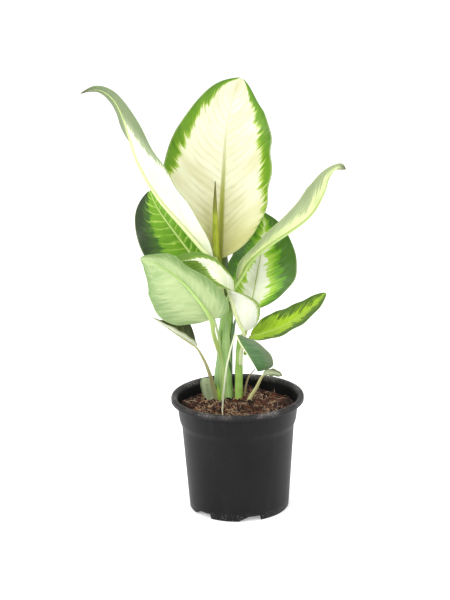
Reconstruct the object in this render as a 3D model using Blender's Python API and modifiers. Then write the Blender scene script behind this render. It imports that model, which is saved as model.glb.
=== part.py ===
# Potted dieffenbachia in a nursery pot: metres, +Z up, standing on z = 0, the middle of its whole width and
# depth at the origin. The tables below measure from the middle of the pot, which the last lines move aside.
import math

import bmesh
import bpy
import numpy as np
from mathutils import Vector

MM = 0.001
CLEARANCE = 0.3  # mm between touching pieces
POT_OFFSET = 16.313  # mm from the middle of the whole plant's width to the middle of the pot

# Pot, in mm
POT_HEIGHT = 105.5
RIM_RADIUS = 60.0
FOOT_RADIUS = 45.25
COLLAR_BOTTOM = 82.0
COLLAR_RADIUS = 52.6
COLLAR_STEP = 1.5
NECK_RADIUS = 55.0
WALL = 1.4
LIP_DEPTH = 5.0
BASE_RAISE = 5.0
BASE_THICKNESS = 1.6
POT_STEPS = 48
NOTCH_ANGLES = (-48.5, 11.5, 131.5, 191.5)  # degrees from the front, turning to the right
NOTCH_HALF_WIDTH = 10.6
NOTCH_RAMP = 9.6
NOTCH_HEIGHT = 4.4
NOTCH_DEPTH = 14.0
DRAIN_HOLES = 6
DRAIN_CIRCLE = 31.0
DRAIN_RADIUS = 4.0

# Potting mix, in mm
MIX_TOP = 94.0
MIX_RINGS = (0.2, 0.4, 0.6, 0.8, 0.93)
SOCKET_LENGTH = 30.0
SOCKET_SIDES = 12
SOCKET_ROOM = 0.5  # extra radius round a thin stalk

# Blades
BLADE_STATIONS = (
    0.012, 0.04, 0.08, 0.13, 0.19, 0.26, 0.34, 0.42, 0.5, 0.58, 0.66, 0.74, 0.82, 0.89, 0.945, 0.98, 1.0
)
TIP_STATION = 0.997  # the blade's last ring, kept a little wide so that it can be closed
STALK_BLEND = 0.08  # share of the blade over which the round stalk flattens out
STALK_SWELLING = 0.15  # extra radius at the stalk's foot, as a share
STALK_RINGS = 7
ACROSS = (-1.0, -0.5, 0.0, 0.5, 1.0)
MARGIN_THICKNESS = 0.5
MIDRIB_THICKNESS = 1.9
MIDRIB_TAPER = 0.6  # share of the midrib's thickness that is gone at the tip

# Stems in mm: points and the radius at each
STEMS = {
    "main_stem": {
        "points": [
            (-12.3, 24, 82), (-12.3, 24, 92), (-12.2, 23, 122), (-9.5, 21, 160), (-7.5, 18, 190),
            (-10.5, 16, 210),
        ],
        "radii": [7.4, 7.6, 7.4, 6.6, 5, 4.2],
        "sides": 3,
    },
    "side_shoot": {
        "points": [(1, 17, 82), (1, 17, 93), (1.7, 18, 122), (3.2, 18, 147), (5, 17, 156)],
        "radii": [3.5, 3.6, 3.5, 3.2, 2.8],
        "sides": 2,
    },
    "dry_stalk": {
        "points": [(5.8, 23, 85), (6.4, 23, 96), (10, 24, 112), (16.8, 26, 120.5)],
        "radii": [0.9, 0.9, 0.8, 0.5],
        "sides": 1,
    },
    "new_leaf_spike": {
        "points": [(-15.2, 7.9, 222), (-16.6, 5.6, 236), (-16.9, 6, 270), (-16.1, 9, 300)],
        "radii": [1.8, 2.8, 2.2, 0.4],
        "sides": 2,
    },
}

FLAT = [(0, 0)] * 5  # no curl, at as many places as a leaf has
EVEN = [(1, 1), (1, 1)]

# Leaves in mm. path: stalk then midrib, with the blade starting at point number "blade".
# face: which way the upper surface looks; fold: how far each half (left, right) bends up towards it, in
# degrees; curl: how much further the half turns by its margin; trim: each half's width as a share of what
# the outline gives. These run from the blade's base to its tip.
LEAVES = {
    "leaf_upright": {
        "path": [
            (-12, 16, 211), (-14, 13, 220), (-14, 12, 229), (-11.5, 18, 263), (-8.5, 26, 302),
            (-6, 33, 336), (0, 38, 365), (9, 40, 386),
        ],
        "blade": 2,
        "half_widths": (54, 54),
        "outline": (0.72, 0.75),
        "trim": [(1.05, 1.05), (1.06, 1.09), (1.02, 1.07), (0.96, 1), (0.87, 0.97), (0.97, 1)],
        "stalk_radius": 2.4,
        "finish": "cream",
        "face": [(0.1, -1, 0.2), (-0.1, -1, 0.2), (-0.1, -1, 0.1)],
        "fold": [(25, 40), (6, 38), (25, 0)],
    },
    "leaf_upper_left": {
        "path": [
            (-14.9, 14, 196), (-18.5, 6, 218), (-20, 0, 231), (-41.5, -10, 261.5), (-65.5, -14, 292.3),
            (-82, -15, 323.5), (-91.5, -12, 355), (-98.5, -8, 372), (-106.5, -5, 381), (-115, -3, 384.8),
            (-123.5, -1, 383.8), (-131, 1, 380.8),
        ],
        "blade": 2,
        "half_widths": (40, 32),
        "outline": (0.8, 0.72),
        "trim": [(0.8, 0.75), (0.85, 0.8), (1, 0.95), (1.12, 1.15), (0.75, 0.85), (0.25, 0.3)],
        "stalk_radius": 2.2,
        "finish": "cream",
        "face": [(0.8, 0.2, 0.6), (0.78, 0.24, 0.62), (0.85, 0.25, 0.5), (0.85, 0.36, 0.28), (0, 0.35, 0.93)],
        "fold": [(30, 35), (27, 25), (17, 14), (1, 5), (0, 0)],
    },
    "leaf_dark_left": {
        "path": [
            (-12.2, 25, 181), (-25, 30, 209.5), (-35, 29, 223), (-53, 30, 248.5), (-67.5, 33, 269.5),
            (-75.5, 36, 287),
        ],
        "blade": 1,
        "half_widths": (35, 31),
        "outline": (0.6, 0.7),
        "stalk_radius": 1.7,
        "finish": "green",
        "face": [(0.1, -1, 0.3), (-0.1, -1, 0.3), (-0.2, -1, 0.3)],
        "fold": [(20, 20), (10, 10), (5, 5)],
    },
    "leaf_front_left": {
        "path": [
            (-16.2, 15.2, 142), (-20.5, -5, 164.5), (-22.2, -17, 180.8), (-30, -29, 198.6),
            (-44.4, -38, 220), (-60.3, -40, 234.2), (-74, -39, 241.5), (-82, -38, 244.2),
        ],
        "blade": 2,
        "half_widths": (22, 30),
        "outline": (0.3, 0.6),
        "trim": [(1.2, 0.9), (1, 1.08), (0.86, 1.2), (0.7, 1.25), (0.9, 1.2), (0.5, 0.6)],
        "stalk_radius": 2,
        "finish": "pale",
        "face": [(0, 1, 0), (0, 1, -0.1), (0, 1, -0.1)],
        "fold": [(-5, 0), (18, 0), (20, 5)],
    },
    "leaf_twisted": {
        "path": [
            (3.8, 13.1, 140), (7, 4, 155), (6.2, -3, 165), (-0.2, -8, 183), (-5, -10.5, 202),
            (-11, -10, 216), (-21, -9, 227.5), (-33, -9, 233), (-45, -9, 233), (-55.5, -9, 230.5),
        ],
        "blade": 2,
        "half_widths": (24, 15),
        "outline": (0.5, 0.5),
        "trim": [(1.5, 1.5), (1.2, 1.2), (0.95, 0.95), (0.65, 0.6), (0.8, 0.62), (1, 0.8)],
        "stalk_radius": 1.6,
        "finish": "cream",
        "face": [(0.65, 0.7, 0.25), (0.7, 0.6, 0.4), (0.5, -0.2, 0.7), (0.2, -1, 0.1), (0.1, -1, 0.1)],
        "fold": [(40, 40), (35, 45), (5, 20), (-25, -15), (-15, -10)],
    },
    "leaf_right": {
        "path": [
            (3.4, 23.5, 138), (8, 22.5, 156), (14, 14, 182), (20.5, 19, 213), (26.5, 27, 246),
            (26, 36, 266),
        ],
        "blade": 2,
        "half_widths": (36, 36),
        "outline": (0.62, 0.95),
        "trim": [(1, 0.7), (1, 0.86), (1, 0.98), (1, 1), (1, 1), (1, 1)],
        "stalk_radius": 1.8,
        "finish": "cream",
        "face": [(-0.1, -1, 0.3), (-0.1, -1, 0.4), (0, -1, 0.5)],
        "fold": [(-10, 20), (-35, 10), (0, 5)],
    },
    "leaf_upper_right": {
        "path": [
            (-6.9, 10.4, 191), (-4.1, 8, 199), (0.4, 5, 206.2), (9.6, 0, 225.8), (19.5, -6, 238),
            (32.5, -9, 248), (63.7, -12, 270.4), (77, -8, 289), (83, -5, 304.5), (90, -2, 311.5),
            (98.2, 3, 309.5),
        ],
        "blade": 2,
        "half_widths": (35, 35),
        "outline": (1, 0.7),
        "trim": [(1, 1), (0.92, 0.92), (0.88, 0.88), (0.88, 0.88), (0.85, 0.85), (0.35, 0.35)],
        "stalk_radius": 2,
        "finish": "pale",
        "face": [
            (-0.66, 0.25, 0.72), (-0.66, 0.22, 0.72), (-0.66, 0.25, 0.72), (-0.7, 0.3, 0.5), (-0.3, 0.4, 0.9),
        ],
        "fold": [(20, 15), (15, 15), (23, 23), (25, 23), (10, 10)],
    },
    "leaf_lower_right": {
        "path": [
            (7.6, 17, 138), (10, 12, 147), (13, 5, 157.6), (22.9, 1, 161.4), (40, -2, 168.5),
            (61.4, -2, 182), (80.6, 0, 198.7),
        ],
        "blade": 2,
        "half_widths": (17, 17),
        "outline": (0.6, 0.7),
        "trim": [(1.3, 1), (1.25, 1.05), (1.1, 1.05), (1, 1), (1, 1)],
        "stalk_radius": 1.6,
        "finish": "green",
        "face": [(-0.4, -0.4, 0.8), (-0.4, -0.3, 0.8), (-0.4, -0.4, 0.8)],
        "fold": [(20, 20), (10, 10), (5, 5)],
    },
    "leaf_drooping": {
        "path": [
            (-14, -8, 84), (-14, -8, 93), (-9.6, -17, 135), (-2.5, -22, 165), (-0.5, -23.5, 168.5),
            (3.7, -28, 161.5), (9.7, -30, 152), (15, -28, 142), (18.4, -23, 134),
        ],
        "blade": 4,
        "half_widths": (19, 19),
        "outline": (0.9, 0.45),
        "stalk_radius": 0.9,
        "finish": "green",
        "face": [(0.5, 1, 0.3), (0.4, 1, 0.2), (0.3, 1, 0.2)],
        "fold": [(70, 10), (80, 5), (70, 5)],
    },
    "leaf_small_left": {
        "path": [
            (-19, 17.2, 95.5), (-22.3, 11, 111), (-25, 3, 125), (-29.5, -2, 139), (-36.8, -8, 153.8),
            (-50.1, -12, 165), (-63.1, -15, 175.5), (-74.8, -15, 184),
        ],
        "blade": 4,
        "half_widths": (13, 15),
        "outline": (0.6, 0.7),
        "trim": [(1, 0.8), (0.9, 1.1), (0.85, 1.15), (0.85, 0.95), (0.9, 0.4), (1, 0.3)],
        "stalk_radius": 1,
        "finish": "pale",
        "face": [(0.3, 0.3, 0.9), (0.3, 0.2, 0.9), (0.3, 0.2, 0.9)],
        "fold": [(20, 66), (18, 62), (12, 25)],
    },
    "leaf_wilted": {
        "path": [
            (10, 12, 84), (10, 12, 94), (17, 10, 107), (23.5, 8, 119.9), (31.6, 6, 122.8),
            (41, 4, 120.9),
        ],
        "blade": 3,
        "half_widths": (5, 5),
        "outline": (0.6, 0.7),
        "stalk_radius": 1.6,
        "finish": "pale",
        "face": [(-0.3, -0.3, 0.9), (0.1, -0.4, 0.9), (0.2, -0.4, 0.9)],
        "fold": [(20, 20), (10, 10), (5, 5)],
    },
    "base_sheath": {
        "path": [(-25.5, 20, 87), (-26, 20, 95.5), (-28, 19.5, 102), (-29.5, 19, 109), (-30, 19, 115)],
        "blade": 1,
        "half_widths": (7.5, 7.5),
        "outline": (0.6, 0.5),
        "stalk_radius": 1.6,
        "finish": "pale",
        "face": [(0.6, 0.8, 0.1), (0.6, 0.8, 0.1)],
        "fold": [(10, 10), (10, 10)],
        "curl": [(25, 25), (25, 25)],
    },
}


def smooth_at(points, place):
    """The point at this place, counted in points, on a smooth curve through them."""
    last = len(points) - 1
    first = min(int(place), last - 1)
    step = place - first
    before = points[first - 1] if first else 2 * points[0] - points[1]
    after = points[first + 2] if first + 2 <= last else 2 * points[last] - points[last - 1]
    a, b = points[first], points[first + 1]
    return 0.5 * (
        2 * a
        + (b - before) * step
        + (2 * before - 5 * a + 4 * b - after) * step**2
        + (3 * a - before - 3 * b + after) * step**3
    )


def places_by_length(points, start, end, shares):
    """Places on the smooth curve between two of its points, at these shares of the length between them."""
    fine = np.linspace(start, end, 200)
    line = np.array([smooth_at(points, place) for place in fine])
    length = np.concatenate([[0], np.cumsum(np.linalg.norm(np.diff(line, axis=0), axis=1))])
    return np.interp(np.array(shares) * length[-1], length, fine)


def unit(vector):
    return vector / np.linalg.norm(vector)


def frame_at(points, place, face):
    """The middle, the upper surface's direction and the right-hand direction."""
    middle = smooth_at(points, place)
    back = smooth_at(points, max(place - 0.02, 0))
    ahead = smooth_at(points, min(place + 0.02, len(points) - 1))
    forward = unit(ahead - back)
    up = unit(face - forward * (face @ forward))
    return middle, up, np.cross(forward, up)


def half_width_share(v, outline):
    """1 at the blade's widest and 0 at both ends: a low shoulder is a round base, a high taper a long tip."""
    shoulder, taper = outline
    widest = shoulder / (shoulder + taper)
    peak = widest**shoulder * (1 - widest) ** taper
    return v**shoulder * (1 - v) ** taper / peak


def half_section(width, fold, curl, a):
    """Sideways and upward reach at share a of a half blade that starts at angle fold and turns by curl."""
    if abs(curl) < 0.01:
        return width * a * math.cos(fold), width * a * math.sin(fold)
    return (
        width * (math.sin(fold + curl * a) - math.sin(fold)) / curl,
        width * (math.cos(fold) - math.cos(fold + curl * a)) / curl,
    )


def blade_ring(leaf, points, place, v):
    """The upper surface from the left margin to the right one, then the lower surface back again."""
    count = len(leaf["face"]) - 1
    face = smooth_at(np.array(leaf["face"], float), v * count)
    folds = np.radians(smooth_at(np.array(leaf["fold"], float), v * count))
    curls = np.radians(smooth_at(np.array(leaf.get("curl", FLAT), float), v * count))
    middle, up, right = frame_at(points, place, face)
    trims = np.array(leaf.get("trim", EVEN), float)
    trim = smooth_at(trims, v * (len(trims) - 1))
    widths = half_width_share(v, leaf["outline"]) * trim * leaf["half_widths"]
    upper = []
    lower = []
    for across in ACROSS:
        side = 1 if across > 0 else -1
        fold = folds[0 if side < 0 else 1]
        curl = curls[0 if side < 0 else 1]
        width = widths[0 if side < 0 else 1]
        sideways, lift = half_section(width, fold, curl, abs(across))
        angle = (fold + curl * abs(across)) * min(1, 4 * abs(across))
        normal = up * math.cos(angle) - right * side * math.sin(angle)
        rib = MIDRIB_THICKNESS * (1 - MIDRIB_TAPER * v)
        thickness = MARGIN_THICKNESS + (rib - MARGIN_THICKNESS) * (1 - abs(across)) ** 3
        centre = middle + right * side * sideways + up * lift
        upper.append(centre + normal * thickness / 2)
        lower.append(centre - normal * thickness / 2)
    return upper + lower[::-1]


def stalk_ring(middle, up, right, radius):
    count = 2 * len(ACROSS)
    turns = [math.pi * (1 - (i + 0.5) * 2 / count) for i in range(count)]
    return [middle + right * radius * math.cos(turn) + up * radius * math.sin(turn) for turn in turns]


def leaf_rings(leaf):
    points = np.array(leaf["path"], float)
    blade = leaf["blade"]
    first_face = np.array(leaf["face"][0], float)
    radius = leaf["stalk_radius"]
    rings = []
    for place in places_by_length(points, 0, blade, np.linspace(0, 1, STALK_RINGS)):
        middle, up, right = frame_at(points, place, first_face)
        swelling = 1 + STALK_SWELLING * (1 - place / blade)
        rings.append(stalk_ring(middle, up, right, radius * swelling))
    for place, v in zip(places_by_length(points, blade, len(points) - 1, BLADE_STATIONS), BLADE_STATIONS):
        ring = blade_ring(leaf, points, place, min(v, TIP_STATION))
        blend = min(1, v / STALK_BLEND)
        middle, up, right = frame_at(points, place, first_face)
        if blend < 1:
            stalk = stalk_ring(middle, up, right, radius)
            ring = [s * (1 - blend) + b * blend for s, b in zip(stalk, ring)]
        rings.append(ring)
    return rings


def add_object(name, mesh, material):
    obj = bpy.data.objects.new(name, mesh)
    parts.objects.link(obj)
    mesh.materials.append(material)
    return obj


def material(name, colour, roughness):
    made = bpy.data.materials.new(name)
    made.use_nodes = True
    shader = made.node_tree.nodes["Principled BSDF"]
    shader.inputs["Base Color"].default_value = (*colour, 1)
    shader.inputs["Roughness"].default_value = roughness
    shader.inputs["Metallic"].default_value = 0
    made.diffuse_color = (*colour, 1)
    return made


def mesh_from(bm, name):
    bmesh.ops.recalc_face_normals(bm, faces=bm.faces)
    mesh = bpy.data.meshes.new(name)
    bm.to_mesh(mesh)
    bm.free()
    return mesh


def lofted(name, rings, thin=False):
    """A closed body through rings of equal size.

    In a thin one the ring's second half lies close under its first, so each face is split along the same
    diagonal as the one that it backs, and the two sides stay parallel where the body twists.
    """
    bm = bmesh.new()
    rows = [[bm.verts.new(Vector(point) * MM) for point in ring] for ring in rings]
    for row, next_row in zip(rows, rows[1:]):
        for i in range(len(row)):
            corners = (row[i - 1], row[i], next_row[i], next_row[i - 1])
            if thin:
                first = 0 if i <= len(row) / 2 else 1
                bm.faces.new((corners[first], corners[first + 1], corners[first + 2]))
                bm.faces.new((corners[first + 2], corners[first - 1], corners[first]))
            else:
                bm.faces.new(corners)
    bm.faces.new(rows[0])
    bm.faces.new(rows[-1])
    return mesh_from(bm, name)


def make_leaf(name, leaf, leaf_material):
    return add_object(name, lofted(name, leaf_rings(leaf), thin=True), leaf_material)


def make_stem(name, stem, stem_material):
    """A tube whose radius follows the stem."""
    curve = bpy.data.curves.new(name, "CURVE")
    curve.dimensions = "3D"
    curve.bevel_depth = MM
    curve.bevel_resolution = stem["sides"]
    curve.use_fill_caps = True
    points = np.array(stem["points"], float)
    radii = np.array(stem["radii"], float)
    places = np.linspace(0, len(points) - 1, 3 * len(points))
    spline = curve.splines.new("POLY")
    spline.points.add(len(places) - 1)
    for point, place in zip(spline.points, places):
        point.co = (*smooth_at(points, place) * MM, 1)
        point.radius = np.interp(place, range(len(radii)), radii)
    obj = bpy.data.objects.new(name, curve)
    parts.objects.link(obj)
    curve.materials.append(stem_material)
    return obj


def cutter(name, mesh, location, rotation=(0, 0, 0)):
    obj = bpy.data.objects.new(name, mesh)
    cutters.objects.link(obj)
    obj.location = [value * MM for value in location]
    obj.rotation_euler = rotation
    obj.hide_render = True
    obj.display_type = "WIRE"
    return obj


def cut(obj, tool):
    boolean = obj.modifiers.new(tool.name, "BOOLEAN")
    boolean.operation = "DIFFERENCE"
    boolean.solver = "EXACT"
    boolean.object = tool


def round_cutter(name, radius, length, location, sides=20):
    bm = bmesh.new()
    bmesh.ops.create_cone(
        bm, cap_ends=True, segments=sides, radius1=radius * MM, radius2=radius * MM, depth=length * MM
    )
    return cutter(name, mesh_from(bm, name), location)


def notch_cutter(name, angle):
    """A block with a ramp on its left, set across the foot."""
    bm = bmesh.new()
    bmesh.ops.create_cube(bm, size=1)
    for vertex in bm.verts:
        left = vertex.co.x < 0
        top = vertex.co.z > 0
        x = -NOTCH_HALF_WIDTH if left else NOTCH_HALF_WIDTH
        if left and top:
            x += NOTCH_RAMP
        if left and not top:
            x -= 1
        vertex.co = Vector((x, vertex.co.y * NOTCH_DEPTH - FOOT_RADIUS, NOTCH_HEIGHT if top else -0.5)) * MM
    return cutter(name, mesh_from(bm, name), (0, 0, 0), (0, 0, math.radians(angle)))


def turned(name, profile, steps, turned_material):
    """A Screw modifier on a profile of (radius, height) pairs in mm."""
    mesh = bpy.data.meshes.new(name)
    points = [(radius * MM, 0, height * MM) for radius, height in profile]
    mesh.from_pydata(points, [(i, i + 1) for i in range(len(points) - 1)], [])
    obj = add_object(name, mesh, turned_material)
    screw = obj.modifiers.new("turn", "SCREW")
    screw.steps = steps
    screw.render_steps = steps
    screw.use_merge_vertices = True
    screw.merge_threshold = 0.0001
    return obj


def wall_radius(height):
    """Outer radius of the straight wall below the collar."""
    slope = (COLLAR_RADIUS - COLLAR_STEP - FOOT_RADIUS) / COLLAR_BOTTOM
    return FOOT_RADIUS + slope * height


def inner_radius(height):
    if height < COLLAR_BOTTOM:
        return wall_radius(height) - WALL
    share = (height - COLLAR_BOTTOM) / (POT_HEIGHT - LIP_DEPTH - COLLAR_BOTTOM)
    return wall_radius(COLLAR_BOTTOM) - WALL + share * (NECK_RADIUS - COLLAR_RADIUS + COLLAR_STEP)


def make_pot(pot_material):
    base_top = BASE_RAISE + BASE_THICKNESS
    lip_bottom = POT_HEIGHT - LIP_DEPTH
    lip_inside = RIM_RADIUS - WALL
    profile = [
        (0, base_top),
        (inner_radius(base_top), base_top),
        (inner_radius(COLLAR_BOTTOM), COLLAR_BOTTOM),
        (inner_radius(lip_bottom), lip_bottom),
        (inner_radius(lip_bottom) + 1.2, POT_HEIGHT - 1.5),
        (inner_radius(lip_bottom) + 2.9, POT_HEIGHT - 0.2),
        (RIM_RADIUS - 2.2, POT_HEIGHT),
        (RIM_RADIUS - 0.5, POT_HEIGHT - 0.6),
        (RIM_RADIUS, POT_HEIGHT - 1.8),
        (RIM_RADIUS, lip_bottom),
        (lip_inside, lip_bottom),
        (lip_inside, POT_HEIGHT - 2.2),
        (NECK_RADIUS + 0.6, POT_HEIGHT - 2.2),
        (NECK_RADIUS, lip_bottom),
        (COLLAR_RADIUS, COLLAR_BOTTOM),
        (wall_radius(COLLAR_BOTTOM - 1), COLLAR_BOTTOM - 1),
        (FOOT_RADIUS, 0),
        (FOOT_RADIUS - WALL, 0),
        (FOOT_RADIUS - WALL + 0.3, BASE_RAISE),
        (0, BASE_RAISE),
    ]
    pot = turned("nursery_pot", profile, POT_STEPS, pot_material)
    for number, angle in enumerate(NOTCH_ANGLES):
        cut(pot, notch_cutter(f"notch_{number}", angle))
    for number in range(DRAIN_HOLES):
        angle = 2 * math.pi * number / DRAIN_HOLES
        place = (DRAIN_CIRCLE * math.cos(angle), DRAIN_CIRCLE * math.sin(angle), BASE_RAISE)
        cut(pot, round_cutter(f"drain_{number}", DRAIN_RADIUS, 3 * BASE_RAISE, place))
    return pot


def mix_height(x, y):
    """The uneven top of the mix, a little lower at the front."""
    waves = 0.8 * math.sin(0.11 * x + 1) + 0.7 * math.sin(0.13 * y + 0.4)
    ripples = 0.4 * math.sin(0.21 * x - 0.17 * y)
    return MIX_TOP + waves + ripples - 0.02 * (20 - y)


def make_mix(mix_material):
    floor = BASE_RAISE + BASE_THICKNESS + CLEARANCE
    angles = [2 * math.pi * i / POT_STEPS for i in range(POT_STEPS)]
    edge = inner_radius(MIX_TOP - 3)

    def ring(radius, height=None):
        spots = [(radius * math.cos(a), radius * math.sin(a)) for a in angles]
        return [(x, y, mix_height(x, y) if height is None else height) for x, y in spots]

    rings = [
        ring(inner_radius(floor) - 2 * CLEARANCE, floor),
        ring(inner_radius(COLLAR_BOTTOM) - 2 * CLEARANCE, COLLAR_BOTTOM),
        ring(edge - 2 * CLEARANCE),
    ]
    rings += [ring(edge * share) for share in reversed(MIX_RINGS)]
    return add_object("potting_mix", lofted("potting_mix", rings), mix_material)


def socket(mix, name, foot, radius):
    """A round hole in the mix for a stem's buried foot, a little wider and deeper than it."""
    x, y, z = foot
    place = (x, y, z - CLEARANCE + SOCKET_LENGTH / 2)
    cut(mix, round_cutter(f"socket_{name}", radius + 2 * CLEARANCE, SOCKET_LENGTH, place, SOCKET_SIDES))


for old in list(bpy.data.objects):
    bpy.data.objects.remove(old)
parts = bpy.data.collections.new("potted_dieffenbachia")
bpy.context.scene.collection.children.link(parts)
cutters = bpy.data.collections.new("cutters")
bpy.context.scene.collection.children.link(cutters)

pot_plastic = material("pot_plastic", (0.035, 0.035, 0.037), 0.45)
peat = material("potting_mix", (0.09, 0.045, 0.03), 0.95)
stem_green = material("stem_green", (0.32, 0.5, 0.14), 0.45)
dried = material("dried_stalk", (0.38, 0.33, 0.24), 0.8)
blades = {
    "cream": material("cream_leaf", (0.72, 0.8, 0.45), 0.4),
    "green": material("green_leaf", (0.13, 0.27, 0.05), 0.4),
    "pale": material("pale_leaf", (0.42, 0.58, 0.22), 0.5),
}

make_pot(pot_plastic)
mix = make_mix(peat)
for name, stem in STEMS.items():
    make_stem(name, stem, dried if name == "dry_stalk" else stem_green)
for name, leaf in LEAVES.items():
    make_leaf(name, leaf, blades[leaf["finish"]])
for name in ("main_stem", "side_shoot", "dry_stalk"):
    socket(mix, name, STEMS[name]["points"][0], max(STEMS[name]["radii"][:2]))
for name in ("leaf_drooping", "leaf_wilted", "base_sheath"):
    foot_radius = LEAVES[name]["stalk_radius"] * (1 + STALK_SWELLING)
    socket(mix, name, LEAVES[name]["path"][0], foot_radius + SOCKET_ROOM)
for obj in [*parts.objects, *cutters.objects]:
    obj.location.x += POT_OFFSET * MM
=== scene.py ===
import math
import random

import bmesh
import bpy
import numpy as np
from mathutils import Matrix, Vector, noise


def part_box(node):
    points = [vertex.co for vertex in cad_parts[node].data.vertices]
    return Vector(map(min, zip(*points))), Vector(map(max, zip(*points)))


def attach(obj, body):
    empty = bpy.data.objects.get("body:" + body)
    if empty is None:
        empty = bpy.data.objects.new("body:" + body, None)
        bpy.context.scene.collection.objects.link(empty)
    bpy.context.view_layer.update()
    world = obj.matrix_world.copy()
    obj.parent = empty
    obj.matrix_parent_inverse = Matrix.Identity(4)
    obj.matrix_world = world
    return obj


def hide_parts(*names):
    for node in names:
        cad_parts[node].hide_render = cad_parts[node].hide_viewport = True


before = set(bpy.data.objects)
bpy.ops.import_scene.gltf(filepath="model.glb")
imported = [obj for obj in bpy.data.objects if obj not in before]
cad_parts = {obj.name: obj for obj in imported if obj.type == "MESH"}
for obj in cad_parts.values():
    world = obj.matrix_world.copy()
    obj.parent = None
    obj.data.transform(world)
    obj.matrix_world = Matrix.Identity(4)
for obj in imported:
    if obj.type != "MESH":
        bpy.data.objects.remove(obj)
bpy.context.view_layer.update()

mm = 0.001
potLow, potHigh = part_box("nursery_pot")
aside = Vector(((potLow[0] + potHigh[0]) / 2, 0, 0))  # the middle of the pot; lengths below are in mm from it


class Wire:
    # one socket of a material, so that sums on it read as ordinary sums
    def __init__(self, paint, socket):
        self.paint = paint
        self.socket = socket

    def __add__(self, other):
        return self.paint.sum("ADD", self, other)

    def __radd__(self, other):
        return self.paint.sum("ADD", other, self)

    def __sub__(self, other):
        return self.paint.sum("SUBTRACT", self, other)

    def __rsub__(self, other):
        return self.paint.sum("SUBTRACT", other, self)

    def __mul__(self, other):
        return self.paint.sum("MULTIPLY", self, other)

    def __rmul__(self, other):
        return self.paint.sum("MULTIPLY", other, self)

    def __truediv__(self, other):
        return self.paint.sum("DIVIDE", self, other)

    def __pow__(self, other):
        return self.paint.sum("POWER", self, other)

    def __abs__(self):
        return self.paint.sum("ABSOLUTE", self)


class Paint:
    # one material: its Principled shader and the nodes that feed it
    def __init__(self, name):
        self.material = bpy.data.materials.new(name)
        self.material.use_nodes = True
        self.tree = self.material.node_tree
        self.shader = self.tree.nodes["Principled BSDF"]
        self.output = self.tree.nodes["Material Output"]

    def plug(self, socket, value):
        if isinstance(value, Wire):
            self.tree.links.new(value.socket, socket)
        else:
            socket.default_value = value

    def node(self, kind, settings, values, out=0):
        made = self.tree.nodes.new(kind)
        for name, value in settings.items():
            setattr(made, name, value)
        for name, value in values.items():
            self.plug(made.inputs[name], value)
        return Wire(self, made.outputs[out])

    def sum(self, operation, *values):
        return self.node("ShaderNodeMath", {"operation": operation}, dict(enumerate(values)))

    def mix(self, share, first, second):
        return self.node("ShaderNodeMix", {"data_type": "RGBA"}, {0: share, 6: first, 7: second}, 2)

    def step(self, value, low, high):
        values = {0: value, 1: low, 2: high}
        return self.node("ShaderNodeMapRange", {"interpolation_type": "SMOOTHSTEP"}, values)

    def point(self, x, y, z):
        return self.node("ShaderNodeCombineXYZ", {}, {0: x, 1: y, 2: z})

    def split(self, vector):
        parts = self.node("ShaderNodeSeparateXYZ", {}, {0: vector})
        return [Wire(self, output) for output in parts.socket.node.outputs]

    def noise(self, vector, scale, detail=2.0, roughness=0.5):
        values = {"Vector": vector, "Scale": scale, "Detail": detail, "Roughness": roughness}
        return self.node("ShaderNodeTexNoise", {}, values)

    def place(self):
        return self.node("ShaderNodeTexCoord", {}, {}, "Object")

    def uv(self):
        return self.node("ShaderNodeTexCoord", {}, {}, "UV")

    def bump(self, height, strength, distance):
        return self.node("ShaderNodeBump", {}, {"Height": height, "Strength": strength, "Distance": distance})

    def finish(self, colour, roughness, normal=None, glow=None, **fixed):
        # glow: how much light shines through a leaf from behind, where it is green, and its two colours
        self.plug(self.shader.inputs["Base Color"], colour)
        self.plug(self.shader.inputs["Roughness"], roughness)
        if normal is not None:
            self.plug(self.shader.inputs["Normal"], normal)
        for name, value in fixed.items():
            self.shader.inputs[name].default_value = value
        if glow:
            share, green, *tints = glow
            pale, dark = [self.node("ShaderNodeBsdfTranslucent", {}, {"Color": code}) for code in tints]
            behind = self.node("ShaderNodeMixShader", {}, {0: green, 1: pale, 2: dark})
            front = Wire(self, self.shader.outputs[0])
            both = self.node("ShaderNodeMixShader", {}, {0: share, 1: front, 2: behind})
            self.plug(self.output.inputs[0], both)
        return self.material


def tint(code):
    # a colour written as red, green and blue in hex, made linear by the sRGB curve for the shader
    shares = [int(code[i : i + 2], 16) / 255 for i in (0, 2, 4)]
    return (*[s / 12.92 if s <= 0.04045 else ((s + 0.055) / 1.055) ** 2.4 for s in shares], 1)


def link(name, data):
    thing = bpy.data.objects.new(name, data)
    bpy.context.scene.collection.objects.link(thing)
    return thing


def addPiece(name, data, materials, node):
    # every piece rides the one body, stands in for a solid, which is hidden, and gets its materials
    for material in materials:
        data.materials.append(material)
    piece = link(name, data)
    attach(piece, "root")
    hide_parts(node)
    return piece


def meshOf(bm, name, smooth=True):
    # the mesh, moved from the middle of the pot to where the pot stands
    for face in bm.faces:
        face.smooth = smooth
    mesh = bpy.data.meshes.new(name)
    bm.to_mesh(mesh)
    bm.free()
    mesh.transform(Matrix.Translation(aside))
    return mesh


def flatGrid(across, along):
    # a flat grid with its own UVs, and where each of its corners is: x from -1 to 1 and v from 0 to 1
    bm = bmesh.new()
    bm.loops.layers.uv.new("UVMap")
    bmesh.ops.create_grid(bm, x_segments=across, y_segments=along, size=1, calc_uvs=True)
    flat = np.array([vertex.co[:2] for vertex in bm.verts])
    return bm, flat[:, 0], (flat[:, 1] + 1) / 2


def moveTo(bm, places):
    for vertex, place in zip(bm.verts, places * mm):
        vertex.co = place


def sheetMesh(name, across, along, shape):
    bm, x, v = flatGrid(across, along)
    moveTo(bm, shape(x, v))
    return meshOf(bm, name)


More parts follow.
